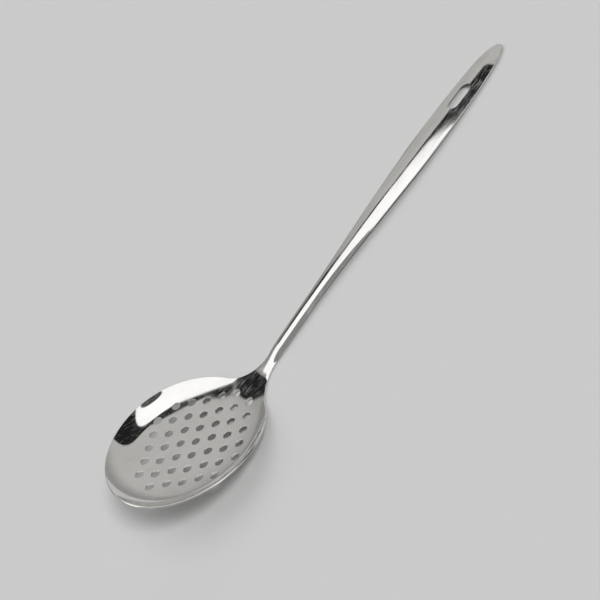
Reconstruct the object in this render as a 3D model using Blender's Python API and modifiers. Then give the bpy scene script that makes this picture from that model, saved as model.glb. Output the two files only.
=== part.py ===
# Skimmer: a shallow perforated bowl and a creased strap handle, both pressed from polished stainless sheet.
# The two pressings meet edge to edge across the neck, where the real tool is welded and polished flush.
# Sizes are in metres. They are set in the tool's own frame: the origin is the middle of the bowl's flat
# land on its upper face, +X runs along the tool towards the handle's tip and +Z points out of the bowl.
# The finished tool then lies on the plane z = 0, on the heel of its bowl and the tip of its handle.

import math

import bmesh
import bpy
from mathutils import Matrix, Vector

mm = 0.001

# Sheet and weld
sheet_thickness = 1.0 * mm
weld_gap = 0.3 * mm

# Bowl
bowl_front_length = 48.2 * mm
bowl_back_length = 47.0 * mm
bowl_half_width = 50.0 * mm
bowl_widest_forward = 4.0 * mm
land_radius = 12.5 * mm
floor_curve_length = 28.8 * mm
floor_rise_deg = 10.9
wall_height = 4.05 * mm
wall_corner_radius = 20.8 * mm
wall_starts_deg = 18.0
wall_full_deg = 110.0

# Drain holes: a square lattice turned 45 degrees to the tool, with its four corner holes left out
hole_diameter = 5.0 * mm
hole_pitch = 10.0 * mm
hole_column_shift = 0.4 * mm
holes_along_side = 7

# Neck
neck_half_width = 4.74 * mm
neck_fillet_radius = 28.4 * mm
neck_straight = 3.0 * mm
throat_depth = 0.7 * mm
throat_blend = 5.0 * mm
ridge_starts = 5.6 * mm
ridge_run_in = 20.6 * mm

# Handle, with lengths measured from the back of the bowl's oval
handle_length = 233.2 * mm
handle_half_width = 10.9 * mm
widening_starts = 50.8 * mm
widening_length = 111.2 * mm
neck_rise_deg = 20.35
handle_rise_deg = 16.05
tip_rise_deg = 6.5
neck_bend_starts = 23.6 * mm
neck_bend_length = 114.1 * mm
tip_bend_length = 17.9 * mm
tip_oval_length = 63.6 * mm
tip_oval_fullness = 2.44
crease_deg = 7.6
crease_softness = 1.05 * mm
crease_fade_length = 13.2 * mm
flank_deg = 59.2
flank_width = 2.5 * mm
flank_bend_length = 1.9 * mm
flank_fade_starts = 57.7 * mm
flank_fade_length = 121.7 * mm

# Hanging slot
slot_length = 19.0 * mm
slot_width = 8.5 * mm
slot_middle_from_tip = 38.9 * mm

# Length of the bars that cut the holes and the slot
cutter_length = 30.0 * mm

# How finely the curved sheets are cut into facets
oval_points = 22
fillet_points = 6
section_points = 13
handle_sections = 26
tip_sections = 13
hole_sides = 14
slot_sides = 26
bowl_rings = (0.0, 0.2, 0.4, 0.56, 0.68, 0.77, 0.85, 0.91, 0.96, 1.0)
smooth_edge_deg = 30.0

# Search for the turn at which the tool lies still
steepest_rest_deg = 45.0
rest_halvings = 50

# Steel
steel_colour = (0.78, 0.77, 0.75, 1.0)
steel_roughness = 0.12

# Places that follow from the sizes above
bowl_back = bowl_back_length - bowl_widest_forward
tip_end = bowl_back + handle_length
back_stretch = bowl_half_width / bowl_back_length
front_stretch = bowl_half_width / bowl_front_length
fillet_middle_across = neck_half_width + neck_fillet_radius
fillet_reach = math.sqrt((bowl_half_width + neck_fillet_radius) ** 2 - fillet_middle_across ** 2)
fillet_end = fillet_reach / back_stretch - bowl_widest_forward
weld_place = fillet_end + neck_straight
slot_middle = tip_end - slot_middle_from_tip


def clamp(value):
    return min(max(value, 0.0), 1.0)


def eased(value, start, length):
    """0 before start, 1 after start + length, and a smooth step between."""
    share = clamp((value - start) / length)
    return share * share * (3.0 - 2.0 * share)


def bend(place, start, length):
    """The height won or lost per unit of slope, where a slope is turned evenly over a length."""
    run = clamp((place - start) / length) * length
    return run * run / (2.0 * length) + max(place - start - length, 0.0)


def floor_height(distance):
    """The dished floor: flat on the land, then a wide curve into a gentle slope."""
    return math.tan(math.radians(floor_rise_deg)) * bend(distance, land_radius, floor_curve_length)


def bowl_height(x, y):
    """Upper face of the bowl: the dished floor, and the wall that turns up to the rim and dies at the neck."""
    back = x + bowl_widest_forward
    back *= back_stretch if back > 0.0 else front_stretch
    inward = max(bowl_half_width - math.hypot(back, y), 0.0)
    around = math.degrees(math.atan2(abs(y), back))
    share = clamp((around - wall_starts_deg) / (wall_full_deg - wall_starts_deg))
    rise = wall_height * math.sin(math.pi / 2.0 * share)
    corner = max(wall_corner_radius, wall_height)
    run = math.sqrt(2.0 * corner * rise - rise ** 2)
    into_corner = max(run - inward, 0.0)
    return floor_height(math.hypot(x, y)) + corner - math.sqrt(corner ** 2 - into_corner ** 2)


def strap_half_width(x):
    """Half the width of the strap, without its rounded tip."""
    widening = eased(x, bowl_back + widening_starts, widening_length)
    return neck_half_width + (handle_half_width - neck_half_width) * widening


def half_width(x):
    """Half the width of the neck's fillet or of the strap."""
    back = (fillet_end - x) * back_stretch
    if back <= 0.0:
        return strap_half_width(x)
    return fillet_middle_across - math.sqrt(max(neck_fillet_radius ** 2 - back ** 2, 0.0))


def crease_line(x):
    """Height of the crease along the handle: steep at the neck, then easier, and nearly level at the tip."""
    neck_slope = math.tan(math.radians(neck_rise_deg))
    handle_slope = math.tan(math.radians(handle_rise_deg))
    tip_slope = math.tan(math.radians(tip_rise_deg))
    start = floor_height(bowl_back) - throat_depth + crease_drop(bowl_back) + flank_drop(bowl_back)
    neck_bend = bend(x, bowl_back + neck_bend_starts, neck_bend_length)
    tip_bend = bend(x, tip_end - tip_bend_length, tip_bend_length)
    height = start + neck_slope * (x - bowl_back)
    return height - (neck_slope - handle_slope) * neck_bend - (handle_slope - tip_slope) * tip_bend


def crease_drop(x):
    """How far the crease's two faces fall from the middle to the edge. They level out at the tip."""
    widening = strap_half_width(x) / handle_half_width
    fade = eased(x, tip_end - crease_fade_length, crease_fade_length)
    return handle_half_width * math.tan(math.radians(crease_deg)) * widening ** 2 * (1.0 - fade)


def flank_slope(x):
    """Slope of the turned-down flanks. They are steep along the neck and die away up the handle."""
    fade = eased(x, bowl_back + flank_fade_starts, flank_fade_length)
    return math.tan(math.radians(flank_deg)) * (1.0 - fade)


def flank_drop(x):
    """How far the flanks turn the edges down."""
    return flank_slope(x) * bend(flank_width, 0.0, flank_bend_length)


def handle_height(x, y):
    """Upper face of the handle: a shallow roof with a soft crest, whose flanks turn down along both edges."""
    edge = half_width(x)
    across = (math.hypot(y, crease_softness) - crease_softness) / edge
    fall = crease_drop(x) * across + flank_slope(x) * bend(abs(y), edge - flank_width, flank_bend_length)
    full_fall = crease_drop(x) + flank_drop(x)
    ridge = eased(x, bowl_back + ridge_starts, ridge_run_in)
    return crease_line(x) - full_fall + ridge * (full_fall - fall)


def upper_face(x, y):
    """The handle's face runs into the bowl's floor with a soft blend."""
    bowl = bowl_height(x, y)
    handle = handle_height(x, y)
    near = max(throat_blend - abs(bowl - handle), 0.0) / throat_blend
    return max(bowl, handle) + near ** 3 * throat_blend / 6.0


def section_shares():
    """Places across a section, from its left edge at 1 to its right edge at -1."""
    return [1.0 - 2.0 * index / (section_points - 1) for index in range(section_points)]


def bowl_outline(end):
    """Corners of the bowl's edge in plan, from the tip round the left side to the weld and back."""
    fillet_turn = math.atan2(fillet_reach, fillet_middle_across)
    oval_turn = math.pi - math.atan2(fillet_middle_across, fillet_reach)
    left = []
    for index in range(oval_points):
        turn = math.pi - oval_turn * index / oval_points
        half_length = bowl_back_length if turn < math.pi / 2.0 else bowl_front_length
        along = half_length * math.cos(turn)
        left.append((along - bowl_widest_forward, bowl_half_width * math.sin(turn)))
    for index in range(fillet_points):
        turn = fillet_turn * (1.0 - index / fillet_points)
        back = neck_fillet_radius * math.sin(turn) / back_stretch
        left.append((fillet_end - back, fillet_middle_across - neck_fillet_radius * math.cos(turn)))
    left.append((fillet_end, neck_half_width))
    weld = [(end, share * half_width(end)) for share in section_shares()]
    right = [(x, -y) for x, y in reversed(left[1:])]
    return left + weld + right


def handle_stations(start):
    """Places of the handle's sections, closer together round the oval tip, with each half width."""
    oval_start = tip_end - tip_oval_length
    stations = []
    for index in range(handle_sections):
        x = start + (oval_start - start) * index / handle_sections
        stations.append((x, half_width(x)))
    for index in range(tip_sections):
        turn = 0.5 * math.pi * index / tip_sections
        x = oval_start + tip_oval_length * math.sin(turn) ** (2.0 / tip_oval_fullness)
        stations.append((x, half_width(x) * math.cos(turn) ** (2.0 / tip_oval_fullness)))
    return stations


def new_object(name, mesh, collection):
    obj = bpy.data.objects.new(name, mesh)
    collection.objects.link(obj)
    return obj


def loft(name, rows, closed, collection):
    """An open sheet through rows of points. Closed rows are rings, the first of which gets a flat middle.
    A last row of one point ends the sheet in a tip."""
    mesh = bpy.data.meshes.new(name)
    sheet = bmesh.new()
    corners = [[sheet.verts.new(point) for point in row] for row in rows]
    if closed:
        sheet.faces.new(corners[0])
    for row, following in zip(corners, corners[1:]):
        count = len(row)
        for index in range(count if closed else count - 1):
            beside = (index + 1) % count
            if len(following) == 1:
                sheet.faces.new((row[index], following[0], row[beside]))
            else:
                sheet.faces.new((row[index], following[index], following[beside], row[beside]))
    bmesh.ops.recalc_face_normals(sheet, faces=sheet.faces)
    if sum(face.normal.z * face.calc_area() for face in sheet.faces) < 0.0:
        bmesh.ops.reverse_faces(sheet, faces=sheet.faces)
    sheet.to_mesh(mesh)
    sheet.free()
    return new_object(name, mesh, collection)


def thicken(obj):
    """Gives a sheet its thickness below its upper face."""
    solid = obj.modifiers.new("sheet_thickness", "SOLIDIFY")
    solid.thickness = sheet_thickness
    solid.offset = -1.0
    solid.use_even_offset = True


def cut(obj, cutter):
    opening = obj.modifiers.new(cutter.name, "BOOLEAN")
    opening.operation = "DIFFERENCE"
    opening.solver = "EXACT"
    opening.object = cutter


def new_cutter(name, shape, collection):
    mesh = bpy.data.meshes.new(name)
    shape.to_mesh(mesh)
    shape.free()
    cutter = new_object(name, mesh, collection)
    cutter.hide_render = True
    cutter.display_type = "WIRE"
    return cutter


def round_bar(shape, diameter, sides, length, place):
    bmesh.ops.create_cone(shape, cap_ends=True, segments=sides, radius1=diameter / 2.0,
                          radius2=diameter / 2.0, depth=length, matrix=place)


def hole_places():
    """Middles of the drain holes. Alternate columns are punched a little further along."""
    middle = (holes_along_side - 1) / 2.0
    last = holes_along_side - 1
    places = []
    for column in range(holes_along_side):
        shift = -hole_column_shift if column % 2 == 0 else hole_column_shift
        for row in range(holes_along_side):
            if column in (0, last) and row in (0, last):
                continue
            along_row = (column - middle) * hole_pitch
            along_column = (row - middle) * hole_pitch + shift
            x = (along_row - along_column) * math.sqrt(0.5)
            y = (-along_row - along_column) * math.sqrt(0.5)
            places.append((x, y))
    return places


def drain_hole_cutter(collection):
    """One bar through the floor for each drain hole."""
    shape = bmesh.new()
    for x, y in hole_places():
        place = Matrix.Translation((x, y, upper_face(x, y)))
        round_bar(shape, hole_diameter, hole_sides, cutter_length, place)
    return new_cutter("drain_holes", shape, collection)


def hanging_slot_cutter(collection):
    """A round bar whose two halves are drawn apart, square to the handle's crease."""
    shape = bmesh.new()
    half_step = Matrix.Rotation(math.pi / slot_sides, 4, "Z")
    round_bar(shape, slot_width, slot_sides, cutter_length, half_step)
    half_straight = (slot_length - slot_width) / 2.0
    for corner in shape.verts:
        corner.co.x += math.copysign(half_straight, corner.co.x)
    cutter = new_cutter("hanging_slot", shape, collection)
    step = slot_length / 2.0
    rise = crease_line(slot_middle + step) - crease_line(slot_middle - step)
    cutter.location = (slot_middle, 0.0, crease_line(slot_middle))
    cutter.rotation_euler = (0.0, -math.atan2(rise, 2.0 * step), 0.0)
    return cutter


def polished_steel(name):
    material = bpy.data.materials.new(name)
    material.use_nodes = True
    shader = material.node_tree.nodes["Principled BSDF"]
    shader.inputs["Base Color"].default_value = steel_colour
    shader.inputs["Metallic"].default_value = 1.0
    shader.inputs["Roughness"].default_value = steel_roughness
    return material


def make_bowl(parts, cutters):
    """The drawn bowl with its short neck: rings from the flat land out to the rim and the weld."""
    outline = bowl_outline(weld_place - weld_gap / 2.0)
    rings = []
    for share in bowl_rings:
        ring = []
        for index, (x, y) in enumerate(outline):
            even_turn = math.pi - 2.0 * math.pi * index / len(outline)
            turn = (even_turn + math.atan2(y, x)) / 2.0
            land_x = land_radius * math.cos(turn)
            land_y = land_radius * math.sin(turn)
            along = land_x + (x - land_x) * share
            across = land_y + (y - land_y) * share
            ring.append((along, across, upper_face(along, across)))
        rings.append(ring)
    bowl = loft("bowl", rings, True, parts)
    thicken(bowl)
    cut(bowl, drain_hole_cutter(cutters))
    return bowl


def make_handle(parts, cutters):
    """The pressed strap handle: sections from the weld to the oval tip."""
    rows = []
    for x, edge in handle_stations(weld_place + weld_gap / 2.0):
        rows.append([(x, share * edge, upper_face(x, share * edge)) for share in section_shares()])
    rows.append([(tip_end, 0.0, upper_face(tip_end, 0.0))])
    handle = loft("handle", rows, False, parts)
    thicken(handle)
    cut(handle, hanging_slot_cutter(cutters))
    return handle


def points_of(obj):
    """Corners of a finished piece in its parent's frame."""
    graph = bpy.context.evaluated_depsgraph_get()
    shaped = obj.evaluated_get(graph)
    return [corner.co.copy() for corner in shaped.to_mesh().vertices]


def lowest(points, turn):
    """The lowest height among the points, once they are turned tip down about the Y axis."""
    return min(point.z * math.cos(turn) - point.x * math.sin(turn) for point in points)


def resting_turn(bowl_points, handle_points):
    """The turn at which the bowl's heel and the handle's tip touch one level plane."""
    level = 0.0
    steep = math.radians(steepest_rest_deg)
    for halving in range(rest_halvings):
        turn = (level + steep) / 2.0
        if lowest(handle_points, turn) > lowest(bowl_points, turn):
            level = turn
        else:
            steep = turn
    return turn


for old in list(bpy.data.objects):
    bpy.data.objects.remove(old, do_unlink=True)

part_collection = bpy.data.collections.new("skimmer")
cutter_collection = bpy.data.collections.new("cutters")
bpy.context.scene.collection.children.link(part_collection)
bpy.context.scene.collection.children.link(cutter_collection)

pieces = [make_bowl(part_collection, cutter_collection), make_handle(part_collection, cutter_collection)]
for piece in pieces:
    piece.data.materials.append(polished_steel(piece.name + "_steel"))
    piece.data.shade_smooth()
    piece.data.set_sharp_from_angle(angle=math.radians(smooth_edge_deg))

bpy.context.view_layer.update()
piece_points = [points_of(piece) for piece in pieces]
rest_turn = resting_turn(*piece_points)
turned = [Matrix.Rotation(rest_turn, 3, "Y") @ point for points in piece_points for point in points]
middle_x = (min(point.x for point in turned) + max(point.x for point in turned)) / 2.0
lowest_z = min(point.z for point in turned)

rest = bpy.data.objects.new("skimmer_rest", None)
part_collection.objects.link(rest)
rest.rotation_euler = (0.0, rest_turn, 0.0)
rest.location = Vector((-middle_x, 0.0, -lowest_z))
for obj in pieces + list(cutter_collection.objects):
    obj.parent = rest
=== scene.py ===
# The skimmer as it looks: its two polished steel pressings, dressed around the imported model.
# Sizes are in metres. The sheets are shaped in the tool's own frame, and are then laid down as the tool lies.
# The origin of that frame is the middle of the bowl's flat land on its upper face, and +X runs along the tool
# to the handle's tip.

import math

import bpy
import numpy as np
from mathutils import Matrix, Vector


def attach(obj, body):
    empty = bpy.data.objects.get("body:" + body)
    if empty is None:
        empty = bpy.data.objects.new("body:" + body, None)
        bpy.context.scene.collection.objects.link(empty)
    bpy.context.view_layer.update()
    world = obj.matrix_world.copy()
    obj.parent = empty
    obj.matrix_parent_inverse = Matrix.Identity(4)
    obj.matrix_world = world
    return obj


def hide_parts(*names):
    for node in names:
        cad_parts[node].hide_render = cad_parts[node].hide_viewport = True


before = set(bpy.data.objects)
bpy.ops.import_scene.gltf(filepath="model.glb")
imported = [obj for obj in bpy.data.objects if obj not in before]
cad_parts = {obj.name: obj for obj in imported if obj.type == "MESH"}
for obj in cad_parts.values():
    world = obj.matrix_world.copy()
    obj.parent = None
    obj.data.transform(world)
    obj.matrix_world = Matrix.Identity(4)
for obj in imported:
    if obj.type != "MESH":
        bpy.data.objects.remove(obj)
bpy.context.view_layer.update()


# Bowl
# A shallow round bowl drawn from stainless sheet and polished, with a flat middle, a gently rising floor and
# a wall that turns up to the rim and dies away at the neck. Its drain holes are punched, with soft edges.
# The short neck that rises out of its back ends in a weld, ground flush with the handle.

mm = 0.001
sheet_thickness = 1.0 * mm
edge_radius = 0.34 * mm
edge_steps = 4

bowl_front_length = 48.2 * mm
bowl_back_length = 47.0 * mm
bowl_half_width = 50.0 * mm
bowl_widest_forward = 4.0 * mm
land_radius = 12.5 * mm
floor_curve_length = 28.8 * mm
floor_rise_deg = 10.9
wall_height = 4.05 * mm
wall_corner_radius = 20.8 * mm
wall_starts_deg = 18.0
wall_full_deg = 110.0
beyond_rim = 0.1 * mm

neck_half_width = 4.74 * mm
neck_fillet_radius = 28.4 * mm
neck_straight = 3.0 * mm
throat_depth = 0.7 * mm
throat_blend = 5.0 * mm
ridge_starts = 5.6 * mm
ridge_run_in = 20.6 * mm

handle_length = 233.2 * mm
handle_half_width = 10.9 * mm
widening_starts = 50.8 * mm
widening_length = 111.2 * mm
neck_rise_deg = 20.35
handle_rise_deg = 16.05
tip_rise_deg = 6.5
neck_bend_starts = 23.6 * mm
neck_bend_length = 114.1 * mm
tip_bend_length = 17.9 * mm
crease_deg = 7.6
crease_softness = 1.05 * mm
crease_fade_length = 13.2 * mm
flank_deg = 59.2
flank_width = 2.5 * mm
flank_bend_length = 1.9 * mm
flank_fade_starts = 57.7 * mm
flank_fade_length = 121.7 * mm

bowl_back = bowl_back_length - bowl_widest_forward
tip_end = bowl_back + handle_length
back_stretch = bowl_half_width / bowl_back_length
front_stretch = bowl_half_width / bowl_front_length
fillet_middle_across = neck_half_width + neck_fillet_radius
fillet_reach = math.sqrt((bowl_half_width + neck_fillet_radius) ** 2 - fillet_middle_across ** 2)
fillet_end = fillet_reach / back_stretch - bowl_widest_forward
weld_place = fillet_end + neck_straight


def eased(value, start, length):
    """0 before start, 1 after start + length, and a smooth step between."""
    share = np.clip((value - start) / length, 0.0, 1.0)
    return share * share * (3.0 - 2.0 * share)


def bend(place, start, length):
    """The height won or lost per unit of slope, where a slope is turned evenly over a length."""
    run = np.clip((place - start) / length, 0.0, 1.0) * length
    return run * run / (2.0 * length) + np.maximum(place - start - length, 0.0)


def floor_height(distance):
    """The dished floor: flat on the land, then a wide curve into a gentle slope."""
    return math.tan(math.radians(floor_rise_deg)) * bend(distance, land_radius, floor_curve_length)


def bowl_height(x, y):
    """Upper face of the bowl: the dished floor, and the wall that turns up to the rim."""
    back = x + bowl_widest_forward
    back = back * np.where(back > 0.0, back_stretch, front_stretch)
    inward = np.maximum(bowl_half_width - np.hypot(back, y), -beyond_rim)
    around = np.degrees(np.arctan2(np.abs(y), back))
    share = np.clip((around - wall_starts_deg) / (wall_full_deg - wall_starts_deg), 0.0, 1.0)
    rise = wall_height * np.sin(math.pi / 2.0 * share)
    run = np.sqrt(2.0 * wall_corner_radius * rise - rise ** 2)
    into_corner = np.maximum(run - inward, 0.0)
    corner = wall_corner_radius - np.sqrt(wall_corner_radius ** 2 - into_corner ** 2)
    return floor_height(np.hypot(x, y)) + corner


def strap_half_width(x):
    """Half the width of the strap, without its rounded tip."""
    widening = eased(x, bowl_back + widening_starts, widening_length)
    return neck_half_width + (handle_half_width - neck_half_width) * widening


def half_width(x):
    """Half the width of the neck's fillet or of the strap."""
    back = np.clip((fillet_end - x) * back_stretch, 0.0, neck_fillet_radius)
    return strap_half_width(x) + neck_fillet_radius - np.sqrt(neck_fillet_radius ** 2 - back ** 2)


def crease_drop(x):
    """How far the crease's two faces fall from the middle to the edge. They level out at the tip."""
    widening = strap_half_width(x) / handle_half_width
    fade = eased(x, tip_end - crease_fade_length, crease_fade_length)
    return handle_half_width * math.tan(math.radians(crease_deg)) * widening ** 2 * (1.0 - fade)


def flank_slope(x):
    """Slope of the turned-down flanks. They are steep along the neck and die away up the handle."""
    fade = eased(x, bowl_back + flank_fade_starts, flank_fade_length)
    return math.tan(math.radians(flank_deg)) * (1.0 - fade)


def flank_drop(x):
    """How far the flanks turn the edges down."""
    return flank_slope(x) * bend(flank_width, 0.0, flank_bend_length)


def crease_line(x):
    """Height of the crease along the handle: steep at the neck, then easier, and nearly level at the tip."""
    neck_slope = math.tan(math.radians(neck_rise_deg))
    handle_slope = math.tan(math.radians(handle_rise_deg))
    tip_slope = math.tan(math.radians(tip_rise_deg))
    start = floor_height(bowl_back) - throat_depth + crease_drop(bowl_back) + flank_drop(bowl_back)
    neck_bend = bend(x, bowl_back + neck_bend_starts, neck_bend_length)
    tip_bend = bend(x, tip_end - tip_bend_length, tip_bend_length)
    height = start + neck_slope * (x - bowl_back)
    return height - (neck_slope - handle_slope) * neck_bend - (handle_slope - tip_slope) * tip_bend


def handle_height(x, y):
    """Upper face of the handle: a shallow roof with a soft crest, whose flanks turn down along both edges."""
    edge = half_width(x)
    across = (np.hypot(y, crease_softness) - crease_softness) / edge
    fall = crease_drop(x) * across + flank_slope(x) * bend(np.abs(y), edge - flank_width, flank_bend_length)
    full_fall = crease_drop(x) + flank_drop(x)
    ridge = eased(x, bowl_back + ridge_starts, ridge_run_in)
    return crease_line(x) - full_fall + ridge * (full_fall - fall)


def upper_face(x, y):
    """The handle's face runs into the bowl's floor with a soft blend."""
    bowl = bowl_height(x, y)
    handle = handle_height(x, y)
    near = np.maximum(throat_blend - np.abs(bowl - handle), 0.0) / throat_blend
    return np.maximum(bowl, handle) + near ** 3 * throat_blend / 6.0


slope_step = 0.02 * mm


def face_normals(x, y):
    """Normals of the upper face, from its slopes."""
    ahead, behind = upper_face(x + slope_step, y), upper_face(x - slope_step, y)
    left, right = upper_face(x, y + slope_step), upper_face(x, y - slope_step)
    slope_x = (ahead - behind) / (2.0 * slope_step)
    slope_y = (left - right) / (2.0 * slope_step)
    normals = np.stack([-slope_x, -slope_y, np.ones_like(x)], axis=1)
    return normals / np.linalg.norm(normals, axis=1, keepdims=True)


def deselect_all():
    bpy.ops.object.select_all(action="DESELECT")


def select_only(piece):
    deselect_all()
    piece.select_set(True)
    bpy.context.view_layer.objects.active = piece


grid_size = 2.0
merge_distance = 0.001 * mm


def grid_sheet(name, columns, rows, places):
    """A grid whose points are moved to the places of its columns and rows. Points that meet are merged."""
    deselect_all()
    bpy.ops.mesh.primitive_grid_add(x_subdivisions=columns, y_subdivisions=rows, size=grid_size)
    sheet = bpy.context.object
    sheet.name = name
    sheet.data.name = name
    corners = np.empty(len(sheet.data.vertices) * 3)
    sheet.data.vertices.foreach_get("co", corners)
    corners = corners.reshape(-1, 3)
    column = np.rint((corners[:, 0] / grid_size + 0.5) * columns).astype(int)
    row = np.rint((corners[:, 1] / grid_size + 0.5) * rows).astype(int)
    x, y = places(column, row)
    sheet.data.vertices.foreach_set("co", np.stack([x, y, upper_face(x, y)], axis=1).ravel())
    bpy.ops.object.mode_set(mode="EDIT")
    bpy.ops.mesh.select_all(action="SELECT")
    bpy.ops.mesh.remove_doubles(threshold=merge_distance)
    bpy.ops.mesh.select_all(action="DESELECT")
    bpy.ops.object.mode_set(mode="OBJECT")
    return sheet


def apply_modifier(piece, modifier):
    select_only(piece)
    bpy.ops.object.modifier_apply(modifier=modifier.name)


def thicken(sheet):
    """Gives a sheet its thickness below its upper face."""
    solid = sheet.modifiers.new("sheet_thickness", "SOLIDIFY")
    solid.thickness = sheet_thickness
    solid.offset = -1.0
    solid.use_even_offset = True
    apply_modifier(sheet, solid)


cut_edge_facing = 0.5
weld_facing = 0.7
weld_reach = 0.8 * mm


def round_sheet_edges(piece):
    """Rolls the sheet's cut edges over, except along the weld."""
    mesh = piece.data
    edge_faces = {}
    for face in mesh.polygons:
        for key in face.edge_keys:
            edge_faces.setdefault(key, []).append(face.normal)
    for edge in mesh.edges:
        first, second = edge_faces[edge.key]
        at_weld = all(abs(mesh.vertices[corner].co.x - weld_place) < weld_reach for corner in edge.vertices)
        on_weld = at_weld and max(abs(first.x), abs(second.x)) > weld_facing
        edge.select = first.dot(second) < cut_edge_facing and not on_weld
    select_only(piece)
    bpy.ops.object.mode_set(mode="EDIT")
    bpy.ops.mesh.select_mode(type="EDGE")
    bpy.ops.mesh.bevel(offset=edge_radius, segments=edge_steps, affect="EDGES")
    bpy.ops.object.mode_set(mode="OBJECT")


outline_oval_points = 132
outline_fillet_points = 26
outline_neck_points = 3
outline_weld_points = 30
floor_rows = 24
wall_rows = 22
wall_share = 0.6
land_edge_reach = 0.01 * mm


def bowl_outline():
    """Corners of the bowl's edge in plan, from its front round the left side to the weld and back."""
    fillet_turn = math.atan2(fillet_reach, fillet_middle_across)
    oval_turn = math.pi - math.atan2(fillet_middle_across, fillet_reach)
    turn = math.pi - oval_turn * np.arange(outline_oval_points) / outline_oval_points
    half_length = np.where(turn < math.pi / 2.0, bowl_back_length, bowl_front_length)
    oval_x = half_length * np.cos(turn) - bowl_widest_forward
    oval = np.stack([oval_x, bowl_half_width * np.sin(turn)], axis=1)
    turn = fillet_turn * (1.0 - np.arange(outline_fillet_points) / outline_fillet_points)
    fillet_x = fillet_end - neck_fillet_radius * np.sin(turn) / back_stretch
    fillet_y = fillet_middle_across - neck_fillet_radius * np.cos(turn)
    neck_x = fillet_end + neck_straight * np.arange(outline_neck_points) / outline_neck_points
    left = np.concatenate([oval, np.stack([fillet_x, fillet_y], axis=1),
                           np.stack([neck_x, half_width(neck_x)], axis=1)])
    share = 1.0 - 2.0 * np.arange(outline_weld_points + 1) / outline_weld_points
    weld = np.stack([np.full_like(share, weld_place), share * neck_half_width], axis=1)
    right = left[:0:-1] * (1.0, -1.0)
    return np.concatenate([left, weld, right, left[:1]])


outline = bowl_outline()
outline_count = len(outline) - 1
even_turn = math.pi - 2.0 * math.pi * np.arange(outline_count + 1) / outline_count
own_turn = np.unwrap(np.arctan2(outline[:, 1], outline[:, 0]))
land_turn = (even_turn + own_turn) / 2.0
land_ring = land_radius * np.stack([np.cos(land_turn), np.sin(land_turn)], axis=1)
ring_shares = np.concatenate([np.linspace(0.0, wall_share, floor_rows + 1),
                              np.linspace(wall_share, 1.0, wall_rows + 1)[1:]])


def bowl_places(column, row):
    share = ring_shares[row][:, None]
    return (land_ring[column] + (outline[column] - land_ring[column]) * share).T


bowl = grid_sheet("bowl_pressing", outline_count, floor_rows + wall_rows, bowl_places)
bpy.ops.object.mode_set(mode="EDIT")
bpy.ops.mesh.select_mode(type="EDGE")
bpy.ops.object.mode_set(mode="OBJECT")
for edge in bowl.data.edges:
    ends = [bowl.data.vertices[corner].co for corner in edge.vertices]
    edge.select = all(math.hypot(end.x, end.y) < land_radius + land_edge_reach for end in ends)
bpy.ops.object.mode_set(mode="EDIT")
bpy.ops.mesh.edge_face_add()
bpy.ops.object.mode_set(mode="OBJECT")
thicken(bowl)
round_sheet_edges(bowl)

hole_diameter = 5.0 * mm
hole_pitch = 10.0 * mm
hole_column_shift = 0.4 * mm
holes_along_side = 7
diagonal = math.sqrt(0.5)
hole_sides = 44
hole_edge_radius = 0.2 * mm
hole_edge_lift = 0.012 * mm
hole_edge_turns = (0.0, 20.0, 40.0, 60.0, 80.0)
cutter_reach = 0.9 * mm
cutter_flare = 0.7 * mm
cutter_flare_deg = 10.0


def cutter_profile(radius):
    """Radius and height of a cutter from below the sheet to above it, flared to leave soft edges."""
    upper = []
    for turn in hole_edge_turns:
        turn = math.radians(turn)
        out = radius + hole_edge_radius * (1.0 - math.cos(turn))
        upper.append((out, hole_edge_lift - hole_edge_radius * (1.0 - math.sin(turn))))
    flare_out = radius + hole_edge_radius + cutter_flare
    flare_rise = cutter_flare * math.tan(math.radians(cutter_flare_deg))
    upper.append((flare_out, upper[-1][1] + flare_rise))
    upper.append((flare_out, cutter_reach))
    lower = [(out, -sheet_thickness - height) for out, height in reversed(upper)]
    return lower + upper


def flared_cutter(name, radius, sides):
    """A round cutter drawn up from a disc, step by step along its profile."""
    profile = cutter_profile(radius)
    deselect_all()
    bpy.ops.mesh.primitive_circle_add(vertices=sides, radius=profile[0][0], fill_type="NGON",
                                      location=(0.0, 0.0, 0.0))
    cutter = bpy.context.object
    cutter.name = name
    bpy.ops.object.mode_set(mode="EDIT")
    bpy.ops.mesh.select_all(action="SELECT")
    bpy.ops.transform.translate(value=(0.0, 0.0, profile[0][1]))
    for (out, height), (next_out, next_height) in zip(profile, profile[1:]):
        bpy.ops.mesh.extrude_region_move(TRANSFORM_OT_translate={"value": (0.0, 0.0, next_height - height)})
        bpy.ops.transform.resize(value=(next_out / out, next_out / out, 1.0))
    bpy.ops.mesh.select_all(action="SELECT")
    bpy.ops.mesh.normals_make_consistent(inside=False)
    bpy.ops.object.mode_set(mode="OBJECT")
    return cutter


def cut_out(piece, cutter):
    opening = piece.modifiers.new("opening", "BOOLEAN")
    opening.operation = "DIFFERENCE"
    opening.solver = "EXACT"
    opening.object = cutter
    apply_modifier(piece, opening)
    bpy.data.objects.remove(cutter, do_unlink=True)


def hole_places():
    """Middles of the drain holes, on a square grid set diagonally. Every other column is a little shifted."""
    middle = (holes_along_side - 1) / 2.0
    last = holes_along_side - 1
    places = []
    for column in range(holes_along_side):
        shift = -hole_column_shift if column % 2 == 0 else hole_column_shift
        for row in range(holes_along_side):
            if column in (0, last) and row in (0, last):
                continue
            along_row = (column - middle) * hole_pitch
            along_column = (row - middle) * hole_pitch + shift
            x = (along_row - along_column) * diagonal
            y = (-along_row - along_column) * diagonal
            places.append((x, y))
    return np.array(places)


def face_up(x, y):
    """A turn and a move that set a cutter square to the upper face at a place."""
    normal = Vector(face_normals(np.array([x]), np.array([y]))[0])
    turn = Vector((0.0, 0.0, 1.0)).rotation_difference(normal).to_matrix().to_4x4()
    return Matrix.Translation((x, y, float(upper_face(x, y)))) @ turn


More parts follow.
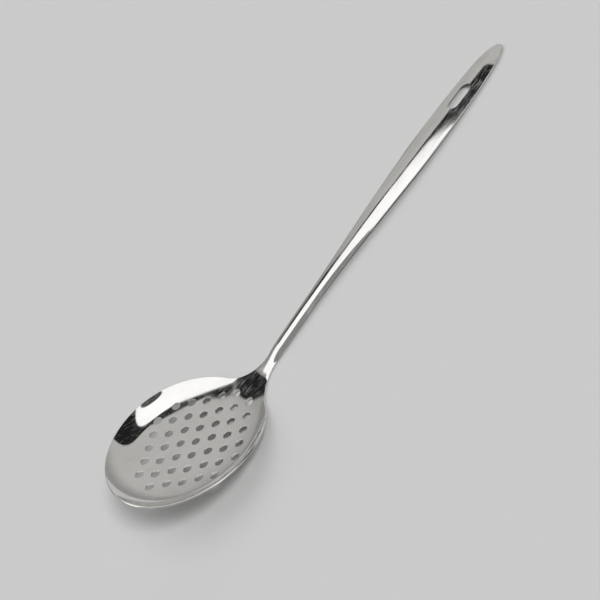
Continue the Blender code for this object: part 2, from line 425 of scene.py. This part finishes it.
pattern = flared_cutter("drain_hole_cutter", hole_diameter / 2.0, hole_sides)
cutters = []
for x, y in hole_places():
    copy = pattern.copy()
    copy.data = pattern.data.copy()
    bpy.context.collection.objects.link(copy)
    copy.matrix_world = face_up(x, y)
    cutters.append(copy)
bpy.data.objects.remove(pattern, do_unlink=True)
select_only(cutters[0])
for cutter in cutters[1:]:
    cutter.select_set(True)
bpy.ops.object.join()
bpy.ops.object.transform_apply(location=True, rotation=True, scale=True)
cut_out(bowl, cutters[0])

smooth_angle = math.radians(30.0)
same_way = 0.95
on_face = 0.06 * mm
normal_settlings = 4


def polish_faces(piece):
    """Smooth normals: the pressed faces take the exact ones, the rolled and punched edges keep their own."""
    mesh = piece.data
    mesh.shade_smooth()
    mesh.set_sharp_from_angle(angle=smooth_angle)
    places = np.empty(len(mesh.vertices) * 3)
    mesh.vertices.foreach_get("co", places)
    places = places.reshape(-1, 3)
    x, y, z = places.T
    upper_normals = face_normals(x, y)
    upper_gap = np.abs(upper_face(x, y) - z)
    top_x, top_y = x, y
    for settling in range(normal_settlings):
        lower_normals = face_normals(top_x, top_y)
        top_x = x + sheet_thickness * lower_normals[:, 0]
        top_y = y + sheet_thickness * lower_normals[:, 1]
    lower_gap = np.abs(upper_face(top_x, top_y) - sheet_thickness * lower_normals[:, 2] - z)
    corner_of = np.empty(len(mesh.loops), dtype=np.int32)
    mesh.loops.foreach_get("vertex_index", corner_of)
    face_count = np.empty(len(mesh.polygons), dtype=np.int32)
    mesh.polygons.foreach_get("loop_total", face_count)
    flat = np.empty(len(mesh.polygons) * 3)
    mesh.polygons.foreach_get("normal", flat)
    flat = np.repeat(flat.reshape(-1, 3), face_count, axis=0)
    normals = np.empty(len(mesh.loops) * 3)
    mesh.corner_normals.foreach_get("vector", normals)
    normals = normals.reshape(-1, 3)
    facing = np.einsum("ij,ij->i", flat, upper_normals[corner_of])
    is_upper = (facing > same_way) & (upper_gap[corner_of] < on_face)
    normals[is_upper] = upper_normals[corner_of][is_upper]
    facing = -np.einsum("ij,ij->i", flat, lower_normals[corner_of])
    is_lower = (facing > same_way) & (lower_gap[corner_of] < on_face)
    normals[is_lower] = -lower_normals[corner_of][is_lower]
    mesh.normals_split_custom_set(normals)


rest_turn_deg = 17.644912
rest_place = (-119.402677 * mm, 0.0, 10.828536 * mm)


def lay_down(piece):
    """Lays a finished pressing down as the tool lies, on its heel and its tip."""
    select_only(piece)
    piece.rotation_euler = (0.0, math.radians(rest_turn_deg), 0.0)
    piece.location = rest_place
    bpy.ops.object.transform_apply(location=True, rotation=True, scale=True)


same_in_height = 1000.0
cloud_size = (18.0 * mm, 14.0 * mm, 18.0 * mm)
cloud_detail = 3.0
cloud_range = (0.35, 0.65)
hairline_size = (9.0 * mm, 0.2 * mm, same_in_height)
hairline_detail = 2.0
hairline_range = (0.56, 0.69)
grain_size = (0.35 * mm, 0.35 * mm, same_in_height)
grain_detail = 1.0
grain_range = (0.4, 0.6)
steel_clear = (0.815, 0.808, 0.79, 1.0)
steel_clouded = (0.765, 0.757, 0.738, 1.0)
mirror_roughness = 0.024
clouded_roughness = 0.058
hairline_roughness = 0.38
hairline_height = 0.004 * mm
hairline_strength = 0.1
none_to_all = (0.0, 1.0)


def noise_marks(group, size, detail):
    """Noise in the tool's own frame, in blotches of a given size along the tool, across it and in height."""
    place = group.nodes.new("ShaderNodeTexCoord")
    fitted = group.nodes.new("ShaderNodeMapping")
    fitted.vector_type = "TEXTURE"
    fitted.inputs["Rotation"].default_value = (0.0, math.radians(rest_turn_deg), 0.0)
    fitted.inputs["Scale"].default_value = size
    noise = group.nodes.new("ShaderNodeTexNoise")
    noise.inputs["Scale"].default_value = 1.0
    noise.inputs["Detail"].default_value = detail
    group.links.new(place.outputs["Object"], fitted.inputs["Vector"])
    group.links.new(fitted.outputs["Vector"], noise.inputs["Vector"])
    return noise.outputs["Fac"]


def spread(tree, value, value_range, result_range):
    """Stretches one range of a value to another."""
    ramp = tree.nodes.new("ShaderNodeMapRange")
    tree.links.new(value, ramp.inputs["Value"])
    ramp.inputs["From Min"].default_value, ramp.inputs["From Max"].default_value = value_range
    ramp.inputs["To Min"].default_value, ramp.inputs["To Max"].default_value = result_range
    return ramp.outputs["Result"]


def combined(tree, operation, first, second):
    node = tree.nodes.new("ShaderNodeMath")
    node.operation = operation
    tree.links.new(first, node.inputs[0])
    tree.links.new(second, node.inputs[1])
    return node.outputs["Value"]


def painted(tree, under, mask, over):
    """Lays one colour over another where the mask is 1."""
    mix = tree.nodes.new("ShaderNodeMix")
    mix.data_type = "RGBA"
    tree.links.new(mask, mix.inputs["Factor"])
    colour_sockets = [socket for socket in mix.inputs if socket.type == "RGBA"]
    for colour, socket in zip((under, over), colour_sockets):
        if isinstance(colour, tuple):
            socket.default_value = colour
        else:
            tree.links.new(colour, socket)
    return next(socket for socket in mix.outputs if socket.type == "RGBA")


def polish_marks():
    """What polishing leaves on the sheet: faint clouds, fine hairlines along the tool and a little grain."""
    group = bpy.data.node_groups.new("polish_marks", "ShaderNodeTree")
    for name, kind in (("Colour", "Color"), ("Roughness", "Float"), ("Height", "Float")):
        group.interface.new_socket(name, in_out="OUTPUT", socket_type="NodeSocket" + kind)
    result = group.nodes.new("NodeGroupOutput")
    clouds = noise_marks(group, cloud_size, cloud_detail)
    hairlines = noise_marks(group, hairline_size, hairline_detail)
    grain = noise_marks(group, grain_size, grain_detail)
    tint = painted(group, steel_clear, spread(group, clouds, cloud_range, none_to_all), steel_clouded)
    haze = spread(group, clouds, cloud_range, (mirror_roughness, clouded_roughness))
    lines = spread(group, hairlines, hairline_range, none_to_all)
    specks = spread(group, grain, grain_range, (0.0, hairline_roughness))
    scratches = combined(group, "MULTIPLY", lines, specks)
    group.links.new(tint, result.inputs["Colour"])
    group.links.new(combined(group, "ADD", haze, scratches), result.inputs["Roughness"])
    group.links.new(combined(group, "ADD", hairlines, grain), result.inputs["Height"])
    return group


def polished_steel():
    material = bpy.data.materials.new("polished_steel")
    material.use_nodes = True
    nodes = material.node_tree.nodes
    links = material.node_tree.links
    shader = nodes["Principled BSDF"]
    shader.inputs["Metallic"].default_value = 1.0
    marks = nodes.new("ShaderNodeGroup")
    marks.node_tree = polish_marks()
    relief = nodes.new("ShaderNodeBump")
    relief.inputs["Strength"].default_value = hairline_strength
    relief.inputs["Distance"].default_value = hairline_height
    links.new(marks.outputs["Colour"], shader.inputs["Base Color"])
    links.new(marks.outputs["Roughness"], shader.inputs["Roughness"])
    links.new(marks.outputs["Height"], relief.inputs["Height"])
    links.new(relief.outputs["Normal"], shader.inputs["Normal"])
    return material


steel = polished_steel()


def finish_piece(piece, node):
    polish_faces(piece)
    lay_down(piece)
    piece.data.materials.clear()
    piece.data.materials.append(steel)
    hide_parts(node)
    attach(piece, "root")


finish_piece(bowl, "bowl")


# Handle
# A strap handle pressed from the same sheet and creased along its middle. Its flanks turn down along the
# narrow part and level out towards the rounded tip, where a hanging slot is punched. Its narrow end is welded
# to the bowl's neck and polished with it.

tip_oval_length = 63.6 * mm
tip_oval_fullness = 2.44
slot_length = 19.0 * mm
slot_width = 8.5 * mm
slot_middle_from_tip = 38.9 * mm
slot_middle = tip_end - slot_middle_from_tip
handle_columns = 130
tip_columns = 80
handle_rows = 72
slot_sides = 96
row_crowding = 1.5
smallest = 1e-9

oval_start = tip_end - tip_oval_length
section_x = np.linspace(weld_place, oval_start, handle_columns + 1)
row_share = np.linspace(-1.0, 1.0, handle_rows + 1)
row_share = np.sign(row_share) * np.abs(row_share) ** row_crowding


def handle_places(column, row):
    """Sections along the strap, then a half disc drawn out to the full oval of the tip."""
    into_tip = np.maximum(column - handle_columns, 0) / tip_columns
    share = row_share[row]
    along = into_tip * np.sqrt(1.0 - share ** 2 / 2.0)
    across = share * np.sqrt(1.0 - into_tip ** 2 / 2.0)
    oval = (along ** tip_oval_fullness + np.abs(across) ** tip_oval_fullness) ** (1.0 / tip_oval_fullness)
    fuller = np.hypot(along, across) / np.maximum(oval, smallest)
    start = section_x[np.minimum(column, handle_columns)]
    return start + tip_oval_length * along * fuller, half_width(start) * across * fuller


handle = grid_sheet("handle_pressing", handle_columns + tip_columns, handle_rows, handle_places)
thicken(handle)
round_sheet_edges(handle)

slot_cutter = flared_cutter("hanging_slot_cutter", slot_width / 2.0, slot_sides)
half_straight = (slot_length - slot_width) / 2.0
for corner in slot_cutter.data.vertices:
    corner.co.x += math.copysign(half_straight, corner.co.x)
slot_step = slot_length / 2.0
slot_rise = float(crease_line(slot_middle + slot_step) - crease_line(slot_middle - slot_step))
slot_cutter.location = (slot_middle, 0.0, float(upper_face(slot_middle, 0.0)))
slot_cutter.rotation_euler = (0.0, -math.atan2(slot_rise, 2.0 * slot_step), 0.0)
cut_out(handle, slot_cutter)
finish_piece(handle, "handle")


# Floor, light and camera
# A plain pale floor under the tool, a soft lamp that gives it a shadow, and a studio that the steel mirrors:
# one wide round soft light overhead with a dark border, a grey room that darkens towards the floor, a grey
# screen on the near side and three small dark flags. The camera stands where the photograph was taken.

floor_size = 40.0
floor_below = 0.05 * mm
floor_colour = (0.52, 0.52, 0.52, 1.0)
floor_roughness = 0.95

deselect_all()
bpy.ops.mesh.primitive_plane_add(size=floor_size, location=(0.0, 0.0, -floor_below))
floor = bpy.context.object
floor.name = "floor"
floor_paint = bpy.data.materials.new("floor_paint")
floor_paint.use_nodes = True
floor_shader = floor_paint.node_tree.nodes["Principled BSDF"]
floor_shader.inputs["Base Color"].default_value = floor_colour
floor_shader.inputs["Roughness"].default_value = floor_roughness
floor.data.materials.append(floor_paint)

horizon = (0.62, 0.619, 0.615, 1.0)
room_low = (0.322, 0.32, 0.316, 1.0)
room_high = (0.534, 0.53, 0.518, 1.0)
room_left = (0.284, 0.282, 0.278, 1.0)
grey_screen = (0.264, 0.263, 0.26, 1.0)
dark_cloth = (0.015, 0.015, 0.0155, 1.0)
near_cloth = (0.08, 0.08, 0.08, 1.0)
soft_light = (1.22, 1.22, 1.22, 1.0)

# Round patches of the surroundings: the direction of the middle, the reach in degrees and the edge's softness
overhead = (0.0, 0.0, 1.0)
edge_softness = 0.008
flag_softness = 0.001
above_horizon = (overhead, 88.28, 0.03)
upper_room = (overhead, 73.56, 0.186)
left_room = ((-0.9583, 0.2857, 0.0), 83.05, 0.145)
far_flag = ((0.039, 0.7826, 0.6213), 5.25, flag_softness)
far_flag_foot = (overhead, 55.9, edge_softness)
throat_flag = ((0.1676, 0.6982, 0.696), 3.89, flag_softness)
border = ((-0.3737, -0.6042, 0.7037), 90.32, edge_softness)
border_end = ((0.588, 0.809, 0.0), 90.0, 0.05)
light_disc = ((-0.3649, -0.126, 0.9225), 59.77, edge_softness)
near_screen = ((-0.752, -0.5366, 0.3828), 52.2, edge_softness)
near_flag = ((0.355, -0.386, 0.8514), 9.94, 0.003)

# Each layer is painted over the ones before it, where all its patches overlap
studio_layers = (
    ((upper_room,), room_high),
    ((left_room,), room_left),
    ((far_flag, far_flag_foot), dark_cloth),
    ((throat_flag,), dark_cloth),
    ((border, border_end), dark_cloth),
    ((light_disc,), soft_light),
    ((near_screen,), grey_screen),
    ((near_flag,), near_cloth),
)

world = bpy.data.worlds.new("studio")
bpy.context.scene.world = world
world.use_nodes = True
surroundings = world.node_tree
surroundings.nodes.clear()
direction = surroundings.nodes.new("ShaderNodeTexCoord").outputs["Generated"]


def patch(middle, reach_deg, softness):
    """1 inside a round patch of the surroundings, 0 outside it, soft between."""
    nearness = surroundings.nodes.new("ShaderNodeVectorMath")
    nearness.operation = "DOT_PRODUCT"
    surroundings.links.new(direction, nearness.inputs[0])
    nearness.inputs[1].default_value = middle
    edge = math.cos(math.radians(reach_deg))
    mask = spread(surroundings, nearness.outputs["Value"], (edge - softness, edge + softness), none_to_all)
    mask.node.interpolation_type = "SMOOTHSTEP"
    return mask


studio = room_low
for patches, colour in studio_layers:
    mask = patch(*patches[0])
    for other in patches[1:]:
        mask = combined(surroundings, "MULTIPLY", mask, patch(*other))
    studio = painted(surroundings, studio, mask, colour)
studio = painted(surroundings, horizon, patch(*above_horizon), studio)

background = surroundings.nodes.new("ShaderNodeBackground")
surroundings.links.new(studio, background.inputs["Color"])
sky = surroundings.nodes.new("ShaderNodeOutputWorld")
surroundings.links.new(background.outputs["Background"], sky.inputs["Surface"])

lamp_direction = Vector((0.3, -0.65, 0.7))
lamp_strength = 2.2
lamp_width_deg = 16.0

lamp_light = bpy.data.lights.new("lamp", "SUN")
lamp_light.energy = lamp_strength
lamp_light.angle = math.radians(lamp_width_deg)
lamp = bpy.data.objects.new("lamp", lamp_light)
bpy.context.scene.collection.objects.link(lamp)
lamp.rotation_euler = lamp_direction.to_track_quat("Z", "Y").to_euler()
# The lamp has no mirror image in the steel, which already shows the soft light in its place
lamp.visible_glossy = False

bpy.context.scene.view_settings.view_transform = "Standard"

image_size = 600.0
focal_pixels = 1078.0
camera_place = Vector((-63.273, -478.723, 363.744)) * mm
camera_right = Vector((0.744058, -0.528859, -0.408272))
camera_down = Vector((-0.616195, -0.307019, -0.725288))
sensor_width_mm = 36.0
nearest_seen = 10.0 * mm

lens = bpy.data.cameras.new("camera")
camera = bpy.data.objects.new("camera", lens)
bpy.context.scene.collection.objects.link(camera)
camera_right.normalize()
camera_up = (-camera_down + camera_right * camera_right.dot(camera_down)).normalized()
axes = Matrix((camera_right, camera_up, camera_right.cross(camera_up))).transposed()
laid_down = Matrix.Translation(rest_place) @ Matrix.Rotation(math.radians(rest_turn_deg), 4, "Y")
camera.matrix_world = laid_down @ Matrix.Translation(camera_place) @ axes.to_4x4()
lens.sensor_width = sensor_width_mm
lens.lens = focal_pixels / image_size * sensor_width_mm
lens.clip_start = nearest_seen
bpy.context.scene.camera = camera
